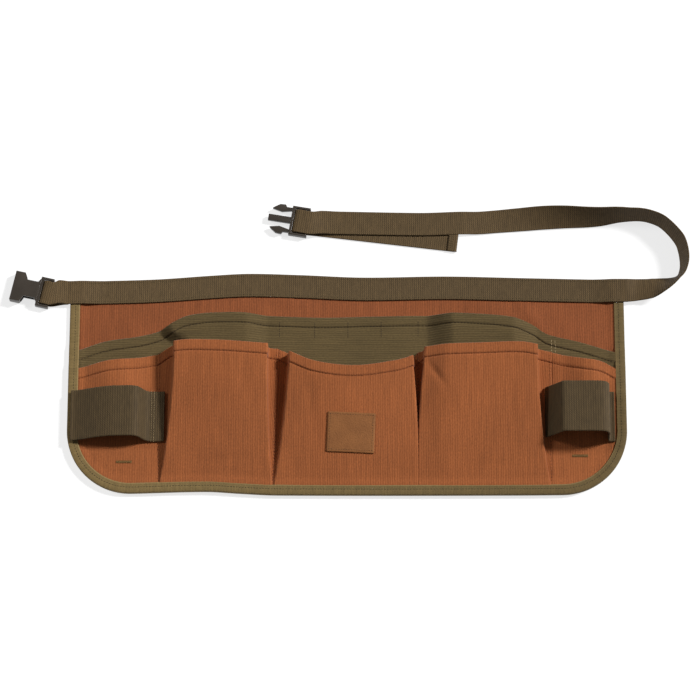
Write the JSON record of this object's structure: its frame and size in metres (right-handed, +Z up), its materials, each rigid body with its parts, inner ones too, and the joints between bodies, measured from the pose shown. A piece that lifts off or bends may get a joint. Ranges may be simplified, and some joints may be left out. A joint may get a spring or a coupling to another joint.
{
  "type": "carpenter nail apron",
  "caption": "Canvas work apron lying open, with pleated nail pouches, flat inner pockets, webbing hammer loops and a waist belt with a side release buckle.",
  "frame": {"origin": "middle of the body on the underside of the back panel, in the plane that the apron lies on", "axes": "+X to the right along the waistband as seen from the front, +Y towards the waistband, +Z up out of the pocketed front"},
  "size_m": [0.7158, 0.319, 0.0319],
  "materials": {
    "duck_canvas": "matte rust brown cotton duck with fine upright ribs",
    "lining_canvas": "matte olive cotton duck with fine level ribs",
    "binding_tape": "olive woven tape, slightly lighter than the canvas",
    "webbing": "olive woven webbing with close cross ribs and a low sheen",
    "buckle_plastic": "very dark brown moulded plastic, satin",
    "label_leather": "brown leather-like patch, dull"
  },
  "bodies": {
    "root": {"back_panel": "duck_canvas", "inner_pocket_panel": "lining_canvas", "left_side_pocket": "duck_canvas", "left_pouch": "duck_canvas", "centre_pouch": "duck_canvas", "right_pouch": "duck_canvas", "right_side_pocket": "duck_canvas", "edge_binding": "binding_tape", "left_hammer_loop": "webbing", "right_hammer_loop": "webbing", "belt": "webbing", "female_buckle": "buckle_plastic", "male_buckle": "buckle_plastic", "label_patch": "label_leather"}
  },
  "joints": []
}
